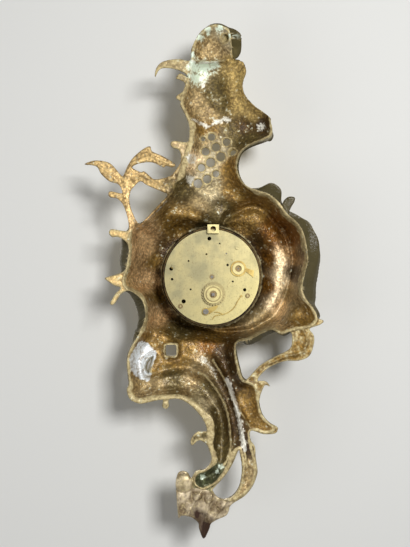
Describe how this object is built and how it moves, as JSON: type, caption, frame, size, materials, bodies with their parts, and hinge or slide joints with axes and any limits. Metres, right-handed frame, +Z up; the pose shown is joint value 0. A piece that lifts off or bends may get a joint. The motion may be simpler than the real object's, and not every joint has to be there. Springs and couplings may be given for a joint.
{
  "type": "cartel wall clock",
  "caption": "Hollow rococo cast-brass wall clock: scrolled case with leaf spray, hinged glazed bezel, enamel dial and a round spring-driven movement open at the back.",
  "frame": {"origin": "centre of the hanging hole on the wall plane", "axes": "+Z up the hung clock, the dial faces -Y, the wall is on +Y"},
  "size_m": [0.1682, 0.0539, 0.3605],
  "materials": {
    "cast_brass": "raw sand-cast, worn pale at the rims",
    "lacquered_brass": "cast, brown lacquer",
    "gilt_leaf": "rough cast, gilt",
    "foot_bronze": "rough cast, dull",
    "plate_brass": "rolled, aged satin",
    "bezel_brass": "turned, satin",
    "wheel_brass": "cut, satin",
    "steel": "turned, dull",
    "blued_steel": "blued",
    "enamel": "white enamel",
    "glass": "clear, domed"
  },
  "bodies": {
    "case": {"case_body": "cast_brass", "crest": "lacquered_brass", "neck_panel": "cast_brass", "tail_scroll": "lacquered_brass", "tail_stem": "cast_brass", "tail_leaf": "foot_bronze", "leaf_spray": "gilt_leaf", "side_branch": "cast_brass", "movement_drum": "bezel_brass", "seat_screws": "steel", "bezel_seat": "bezel_brass", "hinge_pin": "steel", "dial_plate": "bezel_brass", "dial": "enamel", "winding_ferrule": "bezel_brass", "back_plate": "plate_brass", "front_plate": "plate_brass", "pillars": "wheel_brass", "pillar_screws": "steel", "fixing_block": "plate_brass", "balance_boss": "plate_brass", "click_screw": "blued_steel", "click_spring": "steel", "minute_post": "steel"},
    "door": {"bezel": "bezel_brass", "glass": "glass"},
    "minute": {"centre_arbor": "steel", "centre_wheel": "wheel_brass", "cannon_pinion": "steel", "minute_hand": "blued_steel", "hand_nut": "bezel_brass"},
    "hour": {"hour_wheel": "wheel_brass", "hour_hand": "blued_steel"},
    "motion": {"minute_wheel": "wheel_brass"},
    "going_barrel": {"barrel": "wheel_brass", "barrel_cap": "plate_brass", "mainspring": "blued_steel"},
    "winding": {"barrel_arbor": "steel", "ratchet_wheel": "wheel_brass", "ratchet_collar": "wheel_brass"},
    "click_lever": {"click": "wheel_brass"},
    "third": {"third_arbor": "steel", "third_wheel": "wheel_brass"},
    "fourth": {"fourth_arbor": "steel", "fourth_wheel": "wheel_brass"},
    "escape": {"escape_arbor": "steel", "escape_wheel": "wheel_brass"},
    "lever": {"pallet_lever": "wheel_brass"},
    "balance": {"balance_wheel": "wheel_brass", "balance_staff": "steel", "hairspring": "blued_steel"},
    "index": {"regulator_index": "steel"}
  },
  "joints": [
    {"name": "door_hinge", "type": "hinge", "parent": "case", "child": "door", "pos_m": [-0.0392, -0.0464, -0.168], "axis": [0, 0, -1], "range_deg": [0, 105]},
    {"name": "minute_turn", "type": "hinge", "parent": "case", "child": "minute", "pos_m": [0.009, -0.02, -0.168], "axis": [0, 1, 0], "continuous": true},
    {"name": "hour_turn", "type": "hinge", "parent": "case", "child": "hour", "pos_m": [0.009, -0.02, -0.168], "axis": [0, 1, 0], "continuous": true},
    {"name": "motion_turn", "type": "hinge", "parent": "case", "child": "motion", "pos_m": [0.00111, -0.02, -0.17087], "axis": [0, 1, 0], "continuous": true},
    {"name": "barrel_turn", "type": "hinge", "parent": "case", "child": "going_barrel", "pos_m": [0.00814, -0.02, -0.18027], "axis": [0, 1, 0], "continuous": true},
    {"name": "third_turn", "type": "hinge", "parent": "case", "child": "third", "pos_m": [0.01801, -0.02, -0.1607], "axis": [0, 1, 0], "continuous": true},
    {"name": "fourth_turn", "type": "hinge", "parent": "case", "child": "fourth", "pos_m": [0.00816, -0.02, -0.15546], "axis": [0, 1, 0], "continuous": true},
    {"name": "escape_turn", "type": "hinge", "parent": "case", "child": "escape", "pos_m": [-0.00123, -0.02, -0.15148], "axis": [0, 1, 0], "continuous": true},
    {"name": "winding_turn", "type": "hinge", "parent": "case", "child": "winding", "pos_m": [0.00814, -0.02, -0.18027], "axis": [0, 1, 0], "continuous": true},
    {"name": "click_pivot", "type": "hinge", "parent": "case", "child": "click_lever", "pos_m": [0.0133, -0.006, -0.1924], "axis": [0, 1, 0], "range_deg": [-7, 0]},
    {"name": "lever_swing", "type": "hinge", "parent": "case", "child": "lever", "pos_m": [-0.00497, -0.022, -0.15617], "axis": [0, 1, 0], "range_deg": [-8, 8]},
    {"name": "balance_swing", "type": "hinge", "parent": "case", "child": "balance", "pos_m": [-0.0097, -0.018, -0.1621], "axis": [0, 1, 0], "range_deg": [-220, 220], "deforming": ["hairspring"]},
    {"name": "index_turn", "type": "hinge", "parent": "case", "child": "index", "pos_m": [-0.0097, -0.0065, -0.1621], "axis": [0, 1, 0], "range_deg": [-15, 15]}
  ],
  "couplings": [
    {"joint": "hour_turn", "follows": "minute_turn", "ratio": 0.083333},
    {"joint": "motion_turn", "follows": "minute_turn", "ratio": -0.33333},
    {"joint": "barrel_turn", "follows": "minute_turn", "ratio": -0.13889},
    {"joint": "third_turn", "follows": "minute_turn", "ratio": -9},
    {"joint": "fourth_turn", "follows": "minute_turn", "ratio": 72},
    {"joint": "escape_turn", "follows": "minute_turn", "ratio": -540}
  ]
}
